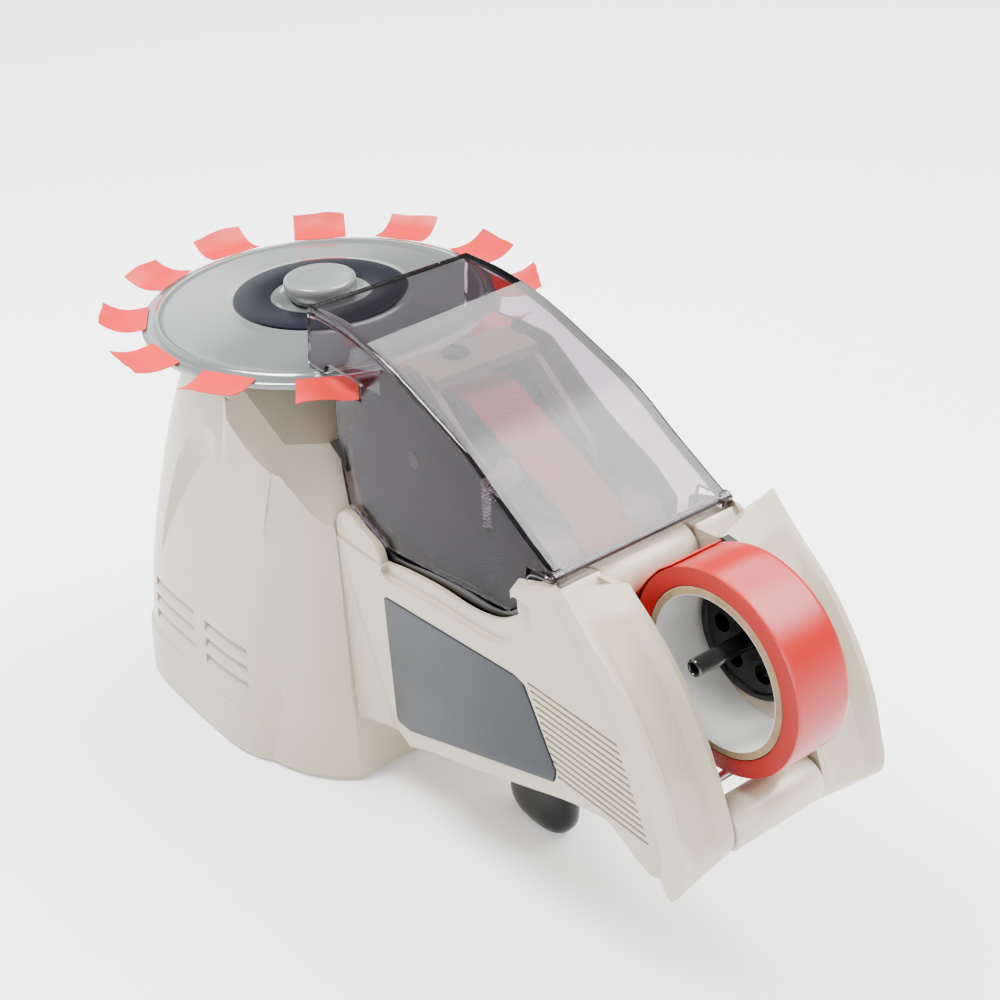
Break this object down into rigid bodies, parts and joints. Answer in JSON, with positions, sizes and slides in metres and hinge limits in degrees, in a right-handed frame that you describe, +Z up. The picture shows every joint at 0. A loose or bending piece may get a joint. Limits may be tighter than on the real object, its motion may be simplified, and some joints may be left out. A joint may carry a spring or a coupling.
{
  "type": "carousel tape dispenser",
  "caption": "Desktop tape dispenser: a roll on a cantilevered arm feeds a cutter under a smoked cover, and a turning disc carries the cut pieces on its rim.",
  "frame": {"origin": "on the surface that the dispenser stands on, under the middle of its box", "axes": "+X from the disc towards the tape roll, -Y towards the side with the label panel, +Z up"},
  "size_m": [0.3342, 0.1656, 0.1935],
  "materials": {
    "housing": "warm beige moulded plastic, satin",
    "disc": "grey moulded plastic, semi-gloss",
    "ring": "near-black navy plastic ring, satin",
    "label": "dark slate film, satin, bare",
    "tape": "red plastic film, glossy",
    "paper_core": "brown pressed paper, raw",
    "black_plastic": "black moulded plastic, satin",
    "rubber": "black rubber, matt",
    "smoked_cover": "smoked clear plastic, polished",
    "steel": "bright steel",
    "plate_metal": "dark grey painted steel",
    "tan_plastic": "tan moulded plastic, satin",
    "board": "green circuit board"
  },
  "bodies": {
    "root": {"rear_housing": "housing", "base_plate": "black_plastic", "foot_left": "rubber", "foot_right": "rubber", "front_leg": "black_plastic", "front_foot": "rubber", "arm_shell_left": "housing", "arm_shell_right": "housing", "arm_tray": "housing", "label_panel": "label", "mech_plate_left": "plate_metal", "mech_plate_right": "plate_metal", "anvil_plate": "steel", "tape_guide": "plate_metal", "tape_web": "tape", "front_cross_block": "tan_plastic", "guide_axle": "steel", "lower_axle": "steel", "cross_rod": "steel", "spindle": "black_plastic", "spindle_bracket": "black_plastic", "drive_motor": "plate_metal", "control_board": "board", "power_inlet": "black_plastic", "switch_bezel": "black_plastic", "carousel_bearing": "black_plastic", "cutter_pivot_pin": "steel", "return_spring": "steel", "cover_rest_left": "black_plastic", "cover_rest_right": "black_plastic", "cover_hinge_pin": "steel"},
    "carousel": {"carousel_disc": "disc", "label_ring": "ring", "hub_knob": "disc", "carousel_shaft": "steel", "tape_piece_01": "tape", "tape_piece_02": "tape", "tape_piece_03": "tape", "tape_piece_04": "tape", "tape_piece_05": "tape", "tape_piece_06": "tape", "tape_piece_07": "tape", "tape_piece_08": "tape", "tape_piece_09": "tape", "tape_piece_10": "tape", "tape_piece_11": "tape", "tape_piece_12": "tape"},
    "cover": {"cover_shell": "smoked_cover"},
    "roll": {"tape_roll": "tape", "tape_core": "paper_core"},
    "hub": {"spindle_hub": "black_plastic"},
    "guide": {"guide_roller": "housing"},
    "lower": {"lower_roller": "housing"},
    "drum": {"feed_drum": "black_plastic", "feed_axle": "steel"},
    "cutter": {"cutter_lever": "tan_plastic", "cutter_blade": "steel", "cutter_screw": "plate_metal"},
    "rocker": {"power_rocker": "black_plastic"}
  },
  "joints": [
    {"name": "carousel_spin", "type": "hinge", "parent": "root", "child": "carousel", "pos_m": [-0.08445, 0, 0.169], "axis": [0, 0, 1], "continuous": true},
    {"name": "cover_hinge", "type": "hinge", "parent": "root", "child": "cover", "pos_m": [0.09123, 0, 0.14715], "axis": [0, 1, 0], "range_deg": [0, 65], "deforming": ["tape_piece_08", "tape_piece_10"]},
    {"name": "tape_roll_spin", "type": "hinge", "parent": "root", "child": "roll", "pos_m": [0.13315, 0, 0.12345], "axis": [0, 1, 0], "continuous": true},
    {"name": "spindle_hub_spin", "type": "hinge", "parent": "root", "child": "hub", "pos_m": [0.13165, 0, 0.12755], "axis": [0, 1, 0], "continuous": true},
    {"name": "guide_roller_spin", "type": "hinge", "parent": "root", "child": "guide", "pos_m": [0.08919, 0, 0.13556], "axis": [0, 1, 0], "continuous": true},
    {"name": "feed_drum_spin", "type": "hinge", "parent": "root", "child": "drum", "pos_m": [0.0119, 0, 0.1527], "axis": [0, 1, 0], "continuous": true},
    {"name": "lower_roller_spin", "type": "hinge", "parent": "root", "child": "lower", "pos_m": [0.14514, 0, 0.07708], "axis": [0, 1, 0], "continuous": true},
    {"name": "cutter_stroke", "type": "hinge", "parent": "root", "child": "cutter", "pos_m": [0.04115, 0, 0.15], "axis": [0, 1, 0], "range_deg": [-3.2, 0], "stiffness_Nm_per_rad": 0.6, "springref_deg": 4.58, "deforming": ["return_spring"]},
    {"name": "power_rocker_tilt", "type": "hinge", "parent": "root", "child": "rocker", "pos_m": [-0.1619, 0, 0.046], "axis": [0, 1, 0], "range_deg": [-8, 8]}
  ],
  "couplings": [
    {"joint": "spindle_hub_spin", "follows": "tape_roll_spin", "ratio": 1.2306},
    {"joint": "guide_roller_spin", "follows": "tape_roll_spin", "ratio": -3.9765},
    {"joint": "feed_drum_spin", "follows": "tape_roll_spin", "ratio": 1.9882}
  ]
}
